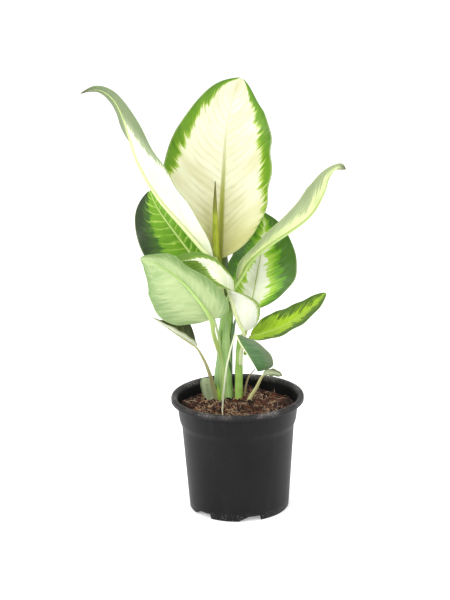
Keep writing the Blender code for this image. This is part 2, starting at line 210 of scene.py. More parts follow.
def tubeMesh(name, around, along, shape):
    # a grid rolled into a tube, its seam welded and its ends closed
    bm, x, v = flatGrid(around, along)
    moveTo(bm, shape((x + 1) * math.pi, v))
    bmesh.ops.remove_doubles(bm, verts=bm.verts, dist=1e-6)
    bmesh.ops.holes_fill(bm, edges=[edge for edge in bm.edges if edge.is_boundary], sides=0)
    bmesh.ops.recalc_face_normals(bm, faces=bm.faces)
    return meshOf(bm, name)


def thicken(piece, thickness, otherSide=0):
    # otherSide: how many materials further on the underside finds its own
    solidify = piece.modifiers.new("thickness", "SOLIDIFY")
    solidify.thickness = thickness * mm
    solidify.offset = 0
    solidify.material_offset = otherSide


def curveAt(points, places):
    # a smooth curve through the points (Catmull-Rom), read at places that count along them
    points = np.asarray(points, float)
    last = len(points) - 1
    places = np.clip(places, 0, last)
    first = np.minimum(places.astype(int), last - 1)
    step = (places - first)[:, None]
    padded = np.vstack([2 * points[0] - points[1], points, 2 * points[-1] - points[-2]])
    before, a, b, after = [padded[first + i] for i in range(4)]
    return 0.5 * (
        2 * a
        + (b - before) * step
        + (2 * before - 5 * a + 4 * b - after) * step**2
        + (3 * a - before - 3 * b + after) * step**3
    )


def placesAlong(points, start, end, shares):
    # the places from start to end at these shares of the curve's length
    fine = np.linspace(start, end, 400)
    line = curveAt(points, fine)
    length = np.concatenate([[0], np.cumsum(np.linalg.norm(np.diff(line, axis=0), axis=1))])
    return np.interp(shares * length[-1], length, fine)


def unit(vectors):
    return vectors / np.linalg.norm(vectors, axis=1)[:, None]


def frameAt(points, places, faces):
    # the curve's own point, and the directions up, out of its upper side, and right, across it
    step = 0.02
    last = len(points) - 1
    ahead = curveAt(points, np.minimum(places + step, last))
    back = curveAt(points, np.maximum(places - step, 0))
    forward = unit(ahead - back)
    up = unit(faces - forward * np.sum(faces * forward, axis=1)[:, None])
    return curveAt(points, places), up, np.cross(forward, up)


# Lengths in mm, angles in degrees, pairs for the left and the right half. path: stalk then midrib, and the
# blade starts at point number "blade". outline: a low first number gives a round base, a high second one a
# long tip. These run from the blade's base to its tip: trim, each half's width as a share of what the outline
# gives; face, which way the upper surface looks; fold, how far each half bends up towards it. curl: how much
# further it turns by its margin. wave: height and number of the margin's ripples. swelling: how much thicker
# the stalk's foot is. upper and under: the finish of each side. stalk: the light and the shaded colour of the
# stalk and midrib.
leaves = {
    "leafUpright": {
        "node": "leaf_upright", "slot": "cream_leaf",
        "path": [
            (-12, 16, 211), (-14, 13, 220), (-14, 12, 229), (-11.5, 18, 263), (-8.5, 26, 302),
            (-6, 33, 336), (0, 38, 365), (9, 40, 386),
        ],
        "blade": 2, "halfWidths": (54, 54), "outline": (0.72, 0.75), "stalkRadius": 2.4,
        "trim": [(1.05, 1.05), (1.06, 1.09), (1.02, 1.07), (0.96, 1), (0.87, 0.97), (0.97, 1)],
        "face": [(0.1, -1, 0.2), (-0.1, -1, 0.2), (-0.1, -1, 0.1)], "fold": [(25, 40), (6, 38), (25, 0)],
        "wave": (1.6, 5), "upper": "uprightUpper", "under": "creamUnder", "stalk": ("9aa532", "7c8a22"),
    },
    "leafUpperLeft": {
        "node": "leaf_upper_left", "slot": "cream_leaf",
        "path": [
            (-14.9, 14, 196), (-18.5, 6, 218), (-20, 0, 231), (-41.5, -10, 261.5), (-65.5, -14, 292.3),
            (-82, -15, 323.5), (-91.5, -12, 355), (-98.5, -8, 372), (-106.5, -5, 381), (-115, -3, 384.8),
            (-123.5, -1, 383.8), (-131, 1, 380.8),
        ],
        "blade": 2, "halfWidths": (40, 32), "outline": (0.8, 0.72), "stalkRadius": 2.2,
        "trim": [(0.8, 0.75), (0.85, 0.8), (1, 0.95), (1.12, 1.15), (0.75, 0.85), (0.25, 0.3)],
        "face": [
            (0.8, 0.2, 0.6), (0.78, 0.24, 0.62), (0.85, 0.25, 0.5), (0.85, 0.36, 0.28), (0, 0.35, 0.93),
        ],
        "fold": [(30, 35), (27, 25), (17, 14), (1, 5), (0, 0)],
        "wave": (0.8, 5), "upper": "upperLeftUpper", "under": "upperLeftUnder",
        "stalk": ("dfe8ae", "b9cc78"),
    },
    "leafDarkLeft": {
        "node": "leaf_dark_left", "slot": "green_leaf",
        "path": [
            (-12.2, 25, 181), (-25, 30, 209.5), (-35, 29, 223), (-53, 30, 248.5), (-67.5, 33, 269.5),
            (-75.5, 36, 287),
        ],
        "blade": 1, "halfWidths": (35, 31), "outline": (0.6, 0.7), "stalkRadius": 1.7,
        "face": [(0.1, -1, 0.3), (-0.1, -1, 0.3), (-0.2, -1, 0.3)], "fold": [(20, 20), (10, 10), (5, 5)],
        "wave": (1.0, 4), "upper": "darkUpper", "under": "darkUnder", "stalk": ("b9d46c", "8caa44"),
    },
    "leafFrontLeft": {
        "node": "leaf_front_left", "slot": "pale_leaf",
        "path": [
            (-13.5, 16.6, 90), (-13, 16.2, 104), (-12.6, 15.8, 121), (-14.5, 14.6, 136), (-18, 7, 151),
            (-20.5, -5, 164.5), (-22.2, -17, 180.8), (-30, -29, 198.6), (-44.4, -38, 220),
            (-60.3, -40, 234.2), (-74, -39, 241.5), (-82, -38, 244.2),
        ],
        "blade": 6, "halfWidths": (22, 30), "outline": (0.3, 0.6), "stalkRadius": 2.0,
        "trim": [(1.2, 0.9), (1, 1.08), (0.86, 1.2), (0.7, 1.25), (0.9, 1.2), (0.5, 0.6)],
        "face": [(0, 1, 0), (0, 1, -0.1), (0, 1, -0.1)], "fold": [(-5, 0), (18, 0), (20, 5)],
        "wave": (0.8, 4), "upper": "frontUpper", "under": "frontUnder", "stalk": ("b4cf7c", "94b45c"),
    },
    "leafTwisted": {
        "node": "leaf_twisted", "slot": "cream_leaf",
        "path": [
            (3.4, 16, 128), (3.8, 13.1, 140), (7, 4, 155), (6.2, -3, 165), (-0.2, -8, 183), (-5, -10.5, 202),
            (-11, -10, 216), (-21, -9, 227.5), (-33, -9, 233), (-45, -9, 233), (-55.5, -9, 230.5),
        ],
        "blade": 3, "halfWidths": (24, 15), "outline": (0.5, 0.5), "stalkRadius": 1.6,
        "trim": [(1.5, 1.5), (1.2, 1.2), (0.95, 0.95), (0.65, 0.6), (0.8, 0.62), (1, 0.8)],
        "face": [(0.65, 0.7, 0.25), (0.7, 0.6, 0.4), (0.5, -0.2, 0.7), (0.2, -1, 0.1), (0.1, -1, 0.1)],
        "fold": [(40, 40), (35, 45), (5, 20), (-25, -15), (-15, -10)],
        "wave": (0.3, 3), "upper": "twistedUpper", "under": "twistedUnder", "stalk": ("e2e8b8", "c4d088"),
    },
    "leafRight": {
        "node": "leaf_right", "slot": "cream_leaf",
        "path": [
            (1.5, 21, 122), (3.4, 22.5, 138), (8, 22.5, 156), (14, 14, 182), (20.5, 19, 213),
            (26.5, 27, 246), (26, 36, 266),
        ],
        "blade": 3, "halfWidths": (36, 36), "outline": (0.62, 0.95), "stalkRadius": 1.8,
        "trim": [(1, 0.7), (1, 0.86), (1, 0.98), (1, 1), (1, 1), (1, 1)],
        "face": [(-0.1, -1, 0.3), (-0.1, -1, 0.4), (0, -1, 0.5)], "fold": [(-10, 20), (-35, 10), (0, 5)],
        "wave": (1.2, 4), "upper": "rightUpper", "under": "creamUnder", "stalk": ("a9c86a", "7c9a3c"),
    },
    "leafUpperRight": {
        "node": "leaf_upper_right", "slot": "pale_leaf",
        "path": [
            (-6.9, 10.4, 191), (-4.1, 8, 199), (0.4, 5, 206.2), (9.6, 0, 225.8), (19.5, -6, 238),
            (32.5, -9, 248), (63.7, -12, 270.4), (77, -8, 289), (83, -5, 304.5), (90, -2, 311.5),
            (98.2, 3, 309.5),
        ],
        "blade": 2, "halfWidths": (35, 35), "outline": (1, 0.7), "stalkRadius": 2.0,
        "trim": [(1, 1), (0.92, 0.92), (0.88, 0.88), (0.88, 0.88), (0.85, 0.85), (0.35, 0.35)],
        "face": [
            (-0.66, 0.25, 0.72), (-0.66, 0.22, 0.72), (-0.66, 0.25, 0.72), (-0.7, 0.3, 0.5), (-0.3, 0.4, 0.9),
        ],
        "fold": [(20, 15), (15, 15), (23, 23), (25, 23), (10, 10)],
        "wave": (0.25, 5), "upper": "upperRightUpper", "under": "upperRightUnder",
        "stalk": ("c4dc8c", "a0bc68"),
    },
    "leafLowerRight": {
        "node": "leaf_lower_right", "slot": "green_leaf",
        "path": [
            (7.6, 17, 138), (10, 12, 147), (13, 5, 157.6), (22.9, 1, 161.4), (40, -2, 168.5),
            (61.4, -2, 182), (80.6, 0, 198.7),
        ],
        "blade": 2, "halfWidths": (17, 17), "outline": (0.6, 0.7), "stalkRadius": 1.6,
        "trim": [(1.3, 1), (1.25, 1.05), (1.1, 1.05), (1, 1), (1, 1)],
        "face": [(-0.4, -0.4, 0.8), (-0.4, -0.3, 0.8), (-0.4, -0.4, 0.8)],
        "fold": [(20, 20), (10, 10), (5, 5)],
        "wave": (0.6, 4), "upper": "lowerRightUpper", "under": "darkUnder", "stalk": ("a8c850", "84a838"),
    },
    "leafDrooping": {
        "node": "leaf_drooping", "slot": "green_leaf",
        "path": [
            (-14, -8, 84), (-14, -8, 93), (-9.6, -17, 135), (-2.5, -22, 165), (-0.5, -23.5, 168.5),
            (3.7, -28, 161.5), (9.7, -30, 152), (15, -28, 142), (18.4, -23, 134),
        ],
        "blade": 4, "halfWidths": (19, 19), "outline": (0.9, 0.45), "stalkRadius": 0.75,
        "face": [(0.5, 1, 0.3), (0.4, 1, 0.2), (0.3, 1, 0.2)], "fold": [(70, 10), (80, 5), (70, 5)],
        "wave": (0.5, 3), "upper": "droopingUpper", "under": "droopingUnder", "stalk": ("e6e8cc", "c4cc94"),
    },
    "leafSmallLeft": {
        "node": "leaf_small_left", "slot": "pale_leaf",
        "path": [
            (-19, 17.2, 95.5), (-22.3, 11, 111), (-25, 3, 125), (-29.5, -2, 139), (-36.8, -8, 153.8),
            (-50.1, -12, 165), (-63.1, -15, 175.5), (-74.8, -15, 184),
        ],
        "blade": 4, "halfWidths": (13, 15), "outline": (0.6, 0.7), "stalkRadius": 1.0, "swelling": 1.4,
        "trim": [(1, 0.8), (0.9, 1.1), (0.85, 1.15), (0.85, 0.95), (0.9, 0.4), (1, 0.3)],
        "face": [(0.3, 0.3, 0.9), (0.3, 0.2, 0.9), (0.3, 0.2, 0.9)], "fold": [(20, 66), (18, 62), (12, 25)],
        "wave": (0.4, 4), "upper": "smallLeftShadedUpper", "under": "smallLeftUnder",
        "stalk": ("a8a878", "8a9860"),
    },
    "leafWilted": {
        "node": "leaf_wilted", "slot": "pale_leaf",
        "path": [
            (10, 12, 84), (10, 12, 94), (17, 10, 107), (23.5, 8, 119.9), (31.6, 6, 122.8), (41, 4, 120.9),
        ],
        "blade": 3, "halfWidths": (5, 5), "outline": (0.6, 0.7), "stalkRadius": 1.1, "swelling": 1.4,
        "face": [(-0.3, -0.3, 0.9), (0.1, -0.4, 0.9), (0.2, -0.4, 0.9)], "fold": [(20, 20), (10, 10), (5, 5)],
        "wave": (0.6, 3), "upper": "wiltedUpper", "under": "wiltedUpper", "stalk": ("dcd89c", "b9b67c"),
    },
    "baseSheath": {
        "node": "base_sheath", "slot": "pale_leaf",
        "path": [(-24.5, 19.5, 84), (-25, 19.5, 91), (-26, 19.5, 98), (-27.5, 19, 107), (-28.5, 19, 115)],
        "blade": 1, "halfWidths": (8.5, 8.5), "outline": (0.35, 0.3), "stalkRadius": 0.7,
        "face": [(0.6, 0.8, 0.1), (0.6, 0.8, 0.1)], "fold": [(-15, -15), (-15, -15)], "curl": 40,
        "wave": (0.3, 2), "upper": "sheathGreen", "under": "sheathGreen", "stalk": ("a8b088", "8c966a"),
    },
}
# lean and bend: how far the side veins run towards the tip on their way out, and how they curve
blade = {
    "across": 64, "along": 190, "thickness": 0.4, "stalkAround": 14, "stalkAlong": 120,
    "veinSpacing": 7.5, "veinDepth": 0.3, "lean": 0.27, "bend": 1.25,
}


def widthShare(v, outline):
    # 1 at the blade's widest and 0 at both ends
    shoulder, taper = outline
    widest = shoulder / (shoulder + taper)
    peak = widest**shoulder * (1 - widest) ** taper
    return v**shoulder * (1 - v) ** taper / peak


def bladeLength(leaf):
    line = curveAt(leaf["path"], np.linspace(leaf["blade"], len(leaf["path"]) - 1, 200))
    return float(np.sum(np.linalg.norm(np.diff(line, axis=0), axis=1)))


def bladeShape(leaf, x, v):
    # x runs from the left margin to the right one, v from the base to the tip, just short of both
    v = 0.004 + 0.992 * v
    points = np.array(leaf["path"], float)
    places = placesAlong(points, leaf["blade"], len(points) - 1, v)
    faces = curveAt(leaf["face"], v * (len(leaf["face"]) - 1))
    middle, up, right = frameAt(points, places, faces)
    folds = np.radians(curveAt(leaf["fold"], v * (len(leaf["fold"]) - 1)))
    share = widthShare(v, leaf["outline"])
    trims = leaf.get("trim", [(1, 1), (1, 1)])
    halfWidths = curveAt(trims, v * (len(trims) - 1)) * leaf["halfWidths"]
    side = np.where(x < 0, -1.0, 1.0)
    out = np.abs(x)
    fold = np.where(x < 0, folds[:, 0], folds[:, 1])
    width = np.where(x < 0, halfWidths[:, 0], halfWidths[:, 1]) * share
    curl = math.radians(leaf.get("curl", 0.01))
    sideways = width * (np.sin(fold + curl * out) - np.sin(fold)) / curl
    lift = width * (np.cos(fold) - np.cos(fold + curl * out)) / curl
    normal = up * np.cos(fold)[:, None] - right * (side * np.sin(fold))[:, None]
    size, count = leaf["wave"]
    wave = size * out**3 * np.sin(2 * math.pi * count * v + 1.7 * side) * np.sin(math.pi * v)
    veins = bladeLength(leaf) / blade["veinSpacing"]
    phase = (v - blade["lean"] * out ** blade["bend"]) * veins + 0.25 * side + 0.3 * np.sin(9 * v + side)
    furrow = (0.5 + 0.5 * np.cos(2 * math.pi * phase)) ** 5
    fade = np.clip(out * 8, 0, 1) * (1 - out**2) * np.minimum(1, share * 2)
    relief = wave - blade["veinDepth"] * furrow * fade
    return middle + right * (side * sideways)[:, None] + up * lift[:, None] + normal * relief[:, None]


def stalkShape(leaf, turn, v):
    # the stalk, which goes on under the blade as its midrib and ends just short of the tip
    points = np.array(leaf["path"], float)
    split = 0.4
    ribEnd = 0.97
    foot = placesAlong(points, 0, leaf["blade"], np.minimum(v / split, 1))
    share = np.clip((v - split) / (1 - split), 0, 1) * ribEnd
    rib = placesAlong(points, leaf["blade"], len(points) - 1, share)
    places = np.where(v < split, foot, rib)
    faces = curveAt(leaf["face"], share * (len(leaf["face"]) - 1))
    middle, up, right = frameAt(points, places, faces)
    radius = leaf["stalkRadius"]
    swelling = 1 + leaf.get("swelling", 0.15) * (1 - foot / leaf["blade"])
    reach = radius * np.where(v < split, swelling, (1 - share) ** 0.8)
    drop = reach * 0.75 * np.clip(share * 12, 0, 1)
    groove = 1 - 0.22 * np.clip(np.sin(turn), 0, 1) ** 6
    sideways = reach * np.cos(turn)
    lift = reach * np.sin(turn) * groove - drop
    return middle + right * sideways[:, None] + up * lift[:, None]


# One finish for each side of a leaf. tints: the inner colour, what clouds it, and the three that follow it on
# the way to the margin. border: where the inner colour ends at base, middle and tip, as a share of the half
# width. shift: how far the right half's border moves out. jag: how far its feathers reach. blend: how softly
# it turns green. rib: the midrib's colour, ribWide its half width at the base in mm, ribFade where along the
# leaf it fades. vein: the side veins' colour; where it is darker than the blade, as on the upright leaf, it
# is painted shade in their grooves. veins how strongly they show, reach how far out, wander how they stray,
# sharp how thin they are. base, tip, rim and the outer corner: the colours of the base, an olive yellow that
# is partly the leaf's own and partly painted shade, of the tip, of the margin, and of a painted shadow on the
# left half's outer corner. rough: roughness.
finishes = {
    "uprightUpper": {
        "tints": ("f1f1d9", "e0dcb8", "a6c23c", "6a9814", "41700a"),
        "border": (1.05, 0.8, 0.6), "jag": 0.15, "rib": "a3a83e", "ribWide": 3.6, "ribFade": 0.55,
        # the vein colour here is darker than the cream: painted shade in the vein grooves
        "vein": "c2b996", "veins": 0.42, "reach": 0.75, "wander": 1.1, "sharp": 4, "base": "d0ca72",
    },
    "creamUnder": {
        "tints": ("eff3d8", "d6dfae", "c3d193", "9db36a", "86a05a"),
        "border": (0.8, 0.82, 0.6), "jag": 0.1, "rib": "dfe8b4", "ribWide": 2.4, "rough": 0.55,
    },
    "upperLeftUpper": {
        "tints": ("f2f5d8", "dde3b0", "a8c052", "6d9626", "3f5f1c"),
        "border": (0.8, 0.86, 0.3), "jag": 0.1, "rib": "dfe8b4", "ribWide": 1.6,
    },
    "upperLeftUnder": {
        "tints": ("fafce9", "f1f5d8", "c3cf9a", "a3b287", "7d9160"),
        "border": (0.97, 0.93, -1.6), "jag": 0.16, "tip": "4f4a3a", "rib": "dbe2b8", "ribWide": 1.4,
        "rough": 0.5, "veins": 0.05, "rim": "6d7f48",
    },
    "darkUpper": {
        "tints": ("7fb22c", "5f9a22", "4c8420", "47692c", "36482b"),
        "border": (0.55, 0.5, 0.25), "rib": "dcf294", "ribWide": 1.5, "vein": "c8ea6c",
        "veins": 0.9, "reach": 0.62, "wander": 1.1, "rough": 0.32, "sharp": 16,
    },
    "darkUnder": {
        "tints": ("a9c27a", "96b265", "8da85e", "7c9852", "6c8748"),
        "border": (0.4, 0.4, 0.3), "jag": 0.15, "rib": "c4d992", "ribWide": 1.6, "rough": 0.6,
    },
    "frontUpper": {
        "tints": ("b7d07c", "9cbf58", "86ab40", "6c9430", "4f7a22"),
        "border": (0.4, 0.5, 0.3), "rib": "d8ea9c", "ribWide": 1.8,
    },
    "frontUnder": {
        "tints": ("bccf94", "a4be80", "b0c68a", "a0ba7c", "8cab6c"),
        "border": (0.55, 0.6, 0.45), "jag": 0.25, "rib": "dde79c", "ribWide": 1.7,
        "vein": "dbe6b8", "veins": 0.3, "reach": 1.1, "wander": 2.2, "ribFade": 0.75, "rough": 0.55,
        # the last colour is a painted shadow on the left half's outer corner
        "cornerShadow": "76984e",
    },
    "twistedUpper": {
        "tints": ("fbfcee", "eef4d0", "a7c45c", "7fa03a", "6c9432"),
        "border": (0.4, 0.6, -0.75), "shift": 0.28, "jag": 0.16, "rib": "e8f0c8", "ribWide": 0.7,
        "veins": 0.1,
    },
    "twistedUnder": {
        "tints": ("fbfcf3", "f1f4dc", "c8d89a", "93b050", "7fa03c"),
        "border": (0.88, 0.72, 0.3), "shift": 0.2, "jag": 0.06, "rib": "dfe3a2", "ribWide": 1.3,
        "rough": 0.5, "veins": 0.05,
    },
    "rightUpper": {
        "tints": ("fdfef4", "f4f8dc", "b2dc28", "6aa818", "4a7426"),
        "border": (0.55, 0.2, -0.15), "rib": "f2f6dc", "ribWide": 1.0, "veins": 0.06,
        "blend": 0.34,
    },
    "upperRightUpper": {
        "tints": ("e8edc4", "d0dc98", "a9bf62", "86a048", "6d8838"),
        "border": (0.5, 0.6, 0.4), "jag": 0.12, "rib": "e4ecb8", "ribWide": 1.6,
    },
    "upperRightUnder": {
        "tints": ("e6eeb4", "d3df9c", "c2d092", "b1c18c", "9eae7c"),
        "border": (0.35, 0.42, 0.3), "jag": 0.28, "tip": "4f4a3a", "rib": "dfe9a6", "ribWide": 1.8,
        "rough": 0.5, "veins": 0.18,
    },
    "lowerRightUpper": {
        "tints": ("a9cc26", "8fb61e", "749a1c", "587c1a", "486a1e"),
        "border": (0.95, 0.5, 0.2), "jag": 0.4, "rib": "bdd868", "ribWide": 0.9, "vein": "c8e060",
        "veins": 0.3, "wander": 1.2, "rough": 0.35, "rim": "c9d98c",
    },
    "droopingUpper": {
        "tints": ("6f9450", "5e8444", "557c40", "4c7038", "446434"),
        "border": (0.4, 0.4, 0.3), "rib": "c6cc6a", "ribWide": 1.0,
    },
    "droopingUnder": {
        "tints": ("557d48", "4f7446", "587a4c", "5f7c52", "6b7c5c"),
        "border": (0.5, 0.5, 0.4), "rib": "c6cc6a", "ribWide": 1.1, "rough": 0.5,
        "vein": "8aa878", "veins": 0.25, "wander": 1.2,
    },
    # a dark olive upper side: partly its own green, partly painted shade for the shade it lies in
    "smallLeftShadedUpper": {
        "tints": ("56632c", "4a5724", "444f20", "3e481d", "38411a"),
        "border": (0.3, 0.3, 0.2), "rib": "9aa860", "ribWide": 0.6, "veins": 0.1,
    },
    "smallLeftUnder": {
        "tints": ("dde3c9", "ccd5b0", "b8c496", "9fad7c", "7c8c5c"),
        "border": (0.7, 0.75, 0.6), "jag": 0.1, "rib": "e4e8d0", "ribWide": 0.7, "rough": 0.55, "veins": 0.15,
    },
    "wiltedUpper": {
        "tints": ("c3cba8", "98a480", "8a9770", "7a8660", "6e7852"),
        "border": (0.9, 0.5, 0.3), "jag": 0.3, "rib": "c8cca8", "ribWide": 0.5, "rough": 0.65,
    },
    "sheathGreen": {
        "tints": ("bccaa2", "a9ba8e", "a3b486", "93a676", "9aa27a"),
        "border": (0.7, 0.7, 0.7), "rib": "a9b791", "ribWide": 0.3, "rough": 0.6, "veins": 0.1,
    },
}


def leafMaterial(name, look, leaf, seed):
    paint = Paint(name)
    inner, shade, join, green, dark = [tint(code) for code in look["tints"]]
    u, v, _ = paint.split(paint.uv())
    across = u * 2 - 1
    out = abs(across)
    right = paint.sum("GREATER_THAN", across, 0)
    side = right * 3.7 + seed
    along = v - blade["lean"] * out ** blade["bend"]  # the same all along one side vein
    length = bladeLength(leaf)
    # the noises are about as long along the blade as the number of mm that they divide its length by
    feather = paint.noise(paint.point(along * length / 3.2, out * 2, side), 1, 2)
    fleck = paint.noise(paint.point(along * length / 1.3, out * 7, side), 1, 1)
    cloud = paint.noise(paint.point(along * length / 18, out * 1.6, side), 1, 2)
    base, middle, tip = look["border"]
    bend = 2 * (base + tip - 2 * middle)
    border = base + v * (tip - base - bend) + v * v * bend + right * look.get("shift", 0)
    jag = look.get("jag", 0.2)
    edge = border + (feather - 0.5) * (jag * 3.2) + (fleck - 0.5) * (jag * 1.1) + (cloud - 0.5) * (jag * 1.5)
    beyond = out - edge
    colour = paint.mix(paint.step(cloud, 0.35, 0.7), inner, shade)
    # the lower blade turns olive yellow: partly its own tone, partly painted shade
    if "base" in look:
        colour = paint.mix((1 - paint.step(v, 0.02, 0.42)) * 0.75, colour, tint(look["base"]))
    colour = paint.mix(paint.step(beyond, -0.03, 0.03), colour, join)
    blend = look.get("blend", 0.1)
    colour = paint.mix(paint.step(beyond + (fleck - 0.5) * 0.1, 0.02, blend), colour, green)
    colour = paint.mix(paint.step(beyond + (cloud - 0.5) * 0.3, blend, 0.42), colour, dark)
    # painted shadow: the left half's outer corner, towards the tip, is darkened where the leaves above shade
    # it
    if "cornerShadow" in look:
        cornerShadow = paint.step(out * (1 - right) + (feather - 0.5) * 0.9 + v * 0.35, 0.65, 1.1)
        colour = paint.mix(cornerShadow * 0.8, colour, tint(look["cornerShadow"]))
    veins = length / blade["veinSpacing"]
    stray = paint.noise(paint.point(along * length / 9, out * 3, side + 5), 1, 2)
    turns = along * veins + right * 0.5 - 0.25 + (stray - 0.5) * look.get("wander", 0.5)
    line = (paint.sum("COSINE", turns * (2 * math.pi)) * 0.5 + 0.5) ** look.get("sharp", 6)
    reach = look.get("reach", 0.9)
    shows = paint.step(out, 0.0, 0.1) * (1 - paint.step(out, reach - 0.35, reach))
    shows = shows * paint.step(stray, 0.22, 0.5)
    # vein colour: pale veins on most leaves; where darker than the blade, painted shade in the grooves
    veinTintAndGrooveShade = tint(look.get("vein", look["rib"]))
    colour = paint.mix(line * shows * look.get("veins", 0.15), colour, veinTintAndGrooveShade)
    ribWide = look["ribWide"] * (1.12 - v)
    leftWidth, rightWidth = leaf["halfWidths"]
    off = out * (leftWidth + right * (rightWidth - leftWidth)) * widthShare(v, leaf["outline"])
    rib = 1 - paint.step(off, ribWide * 0.55, ribWide * 1.15)
    if "ribFade" in look:
        rib = rib * (1 - paint.step(v, look["ribFade"] - 0.3, look["ribFade"] + 0.25) * 0.85)
    colour = paint.mix(rib, colour, tint(look["rib"]))
    if "tip" in look:
        colour = paint.mix(paint.step(v, 0.93, 0.985) * 0.8, colour, tint(look["tip"]))
    rim = paint.step(out, 0.96, 0.995)
    colour = paint.mix(rim * 0.45, colour, tint(look.get("rim", "cdd6a0")))
    height = stray * 0.6 + fleck * 0.5 - line * shows * 0.4
    normal = paint.bump(height, 0.25, 0.0008)
    roughness = look.get("rough", 0.4) + (cloud - 0.5) * 0.15
    glow = (0.22, paint.step(beyond, -0.03, blend), inner, green)
    return paint.finish(colour, roughness, normal, glow, **{"Specular IOR Level": 0.45})


def makeLeaves():
    # leaves that share a solid and a finish share its material too
    made = {}
    for number, (name, leaf) in enumerate(leaves.items()):
        finish = []
        for key in (leaf["upper"], leaf["under"]):
            place = (key, leaf["node"])
            if place not in made:
                made[place] = leafMaterial(f"{name}_{key}", finishes[key], leaf, number * 1.9 + 0.4)
            finish.append(made[place])
        mesh = sheetMesh(name, blade["across"], blade["along"], lambda x, v: bladeShape(leaf, x, v))
        piece = addPiece(name, mesh, finish, leaf["node"])
        thicken(piece, blade["thickness"], 1)
        around, along = blade["stalkAround"], blade["stalkAlong"]
        stalk = tubeMesh(f"{name}Stalk", around, along, lambda turn, v: stalkShape(leaf, turn, v))
        addPiece(f"{name}Stalk", stalk, [stalkMaterial(name, leaf)], leaf["node"])
        print("made", name)


def stalkMaterial(name, leaf):
    paint = Paint(f"{name}Stalk")
    u, v, _ = paint.split(paint.uv())
    streak = paint.noise(paint.point(u * 9, v * 3, 0.3), 1, 3)
    speck = paint.noise(paint.place(), 900, 2)
    light, shade = [tint(code) for code in leaf["stalk"]]
    colour = paint.mix(paint.step(streak, 0.35, 0.65), light, shade)
    colour = paint.mix(paint.step(speck, 0.6, 0.75) * 0.3, colour, tint("6f8a3a"))
    normal = paint.bump(streak, 0.3, 0.0006)
    return paint.finish(colour, 0.45 + (speck - 0.5) * 0.2, normal, **{"Subsurface Weight": 0.1})


# Stems and loose stalks. radii: at the points; joints: how many rings round it; tints: light, middle and the
# dark of the streaks; top: a colour that comes in from the first height of above to the second, on the main
# stem painted shade where the leaves shade its top, on the others their own colour.
stems = {
    "mainStem": {
        "node": "main_stem", "slot": "stem_green", "points": [
            (-12.3, 24, 82), (-12.3, 24, 92), (-12.2, 23, 122), (-9.5, 21, 160), (-7.5, 18, 190),
            (-10.5, 16, 210), (-12, 15, 232),
        ],
        "radii": [7.6, 7.8, 7.2, 6.4, 5.0, 4.2, 3.2], "joints": 4, "tints": ("9cc268", "7fa84e", "5d7c3a"),
        # painted shade: this top colour darkens the stem's top, where the leaves above shade it
        "above": (170, 186), "top": "566a1e",
    },
    "sideShoot": {
        "node": "side_shoot", "slot": "stem_green", "points": [
            (1, 17, 82), (1, 17, 93), (1.7, 18, 122), (3.2, 18, 147), (5, 17, 156),
        ],
        "radii": [3.5, 3.6, 3.5, 3.2, 2.8], "joints": 2, "tints": ("a6cc68", "8db650", "768f3c"),
        "above": (100, 92), "top": "b8b860",
    },
    "dryStalk": {
        "node": "dry_stalk", "slot": "dried_stalk", "points": [
            (5.8, 23, 85), (6.4, 23, 96), (10, 24, 112), (16.8, 26, 120.5),
        ],
        "radii": [1.1, 1.1, 0.9, 0.6], "tints": ("cfc29c", "ab9c74", "76694a"),
        "above": (116, 122), "top": "7e6c50",
    },
    "newLeafSpike": {
        "node": "new_leaf_spike", "slot": "stem_green", "points": [
            (-15.2, 7.9, 222), (-16.6, 5.6, 236), (-16.9, 6, 270), (-16.1, 9, 300),
        ],
        "radii": [1.8, 2.8, 2.2, 0.4], "tints": ("a3b02a", "87941c", "5c6610"),
        "above": (262, 296), "top": "5e5c22",
    },
    # painted shade: this petiole's dark grey-green tints stand for the shade it lies in among the leaves
    "shadedPetiole": {
        "node": "main_stem", "slot": "stem_green", "points": [
            (-6, 18, 180), (-7.2, 15.5, 200), (-8.2, 14.6, 215), (-8.6, 14.6, 230), (-10.5, 16, 240),
        ],
        "radii": [2.6, 2.5, 2.3, 2.1, 1.8], "tints": ("6c7a5c", "5a6a4a", "424e36"),
    },
    "palePetiole": {
        "node": "leaf_upper_left", "slot": "cream_leaf", "points": [
            (-12, 12, 196), (-14.5, 9, 212), (-16, 6.5, 224), (-18, 4, 233),
        ],
        "radii": [2.2, 2.3, 2.5, 2.2], "tints": ("e3ecbc", "cfdd96", "a9bf6a"),
    },
    "lowPetiole": {
        "node": "main_stem", "slot": "stem_green", "points": [
            (-15, 17.5, 138), (-15.6, 14, 152), (-17.4, 12.5, 163), (-19, 13, 170), (-20.5, 15, 177),
        ],
        "radii": [1.2, 1.2, 1.1, 1.0, 0.6], "tints": ("cfe0a4", "b4cc84", "8aa65c"),
    },
    "paleRoot": {
        "node": "potting_mix", "slot": "potting_mix", "points": [
            (-14, -9, 94), (-14, -16, 96.4), (-13.7, -28, 96.8), (-13.2, -40, 97.2), (-13, -48, 97.6),
        ],
        "radii": [0.7, 0.6, 0.5, 0.5, 0.4], "tints": ("d9c7a6", "bca683", "8c7556"),
    },
    "lowBud": {
        "node": "main_stem", "slot": "stem_green", "points": [
            (-16.5, 17.6, 92), (-17, 16.2, 98), (-17.6, 15.4, 104), (-17.8, 15.4, 109),
        ],
        "radii": [1.9, 2.2, 1.7, 0.4], "tints": ("a8cc4c", "8eb63c", "6f9030"),
    },
}
stemGrid = {"around": 40, "along": 120}


def stemShape(stem, turn, v):
    places = v * (len(stem["points"]) - 1)
    middle = curveAt(stem["points"], places)
    radii = curveAt([(r,) for r in stem["radii"]], places)[:, 0]
    ring = np.abs(np.sin(math.pi * stem["joints"] * v)) if "joints" in stem else 1
    radius = radii * (1 + 0.05 * (1 - ring) ** 6) * (1 + 0.03 * np.sin(3 * turn + 4 * v))
    across = np.stack([np.cos(turn), np.sin(turn), 0 * turn], axis=1)
    return middle + across * radius[:, None]


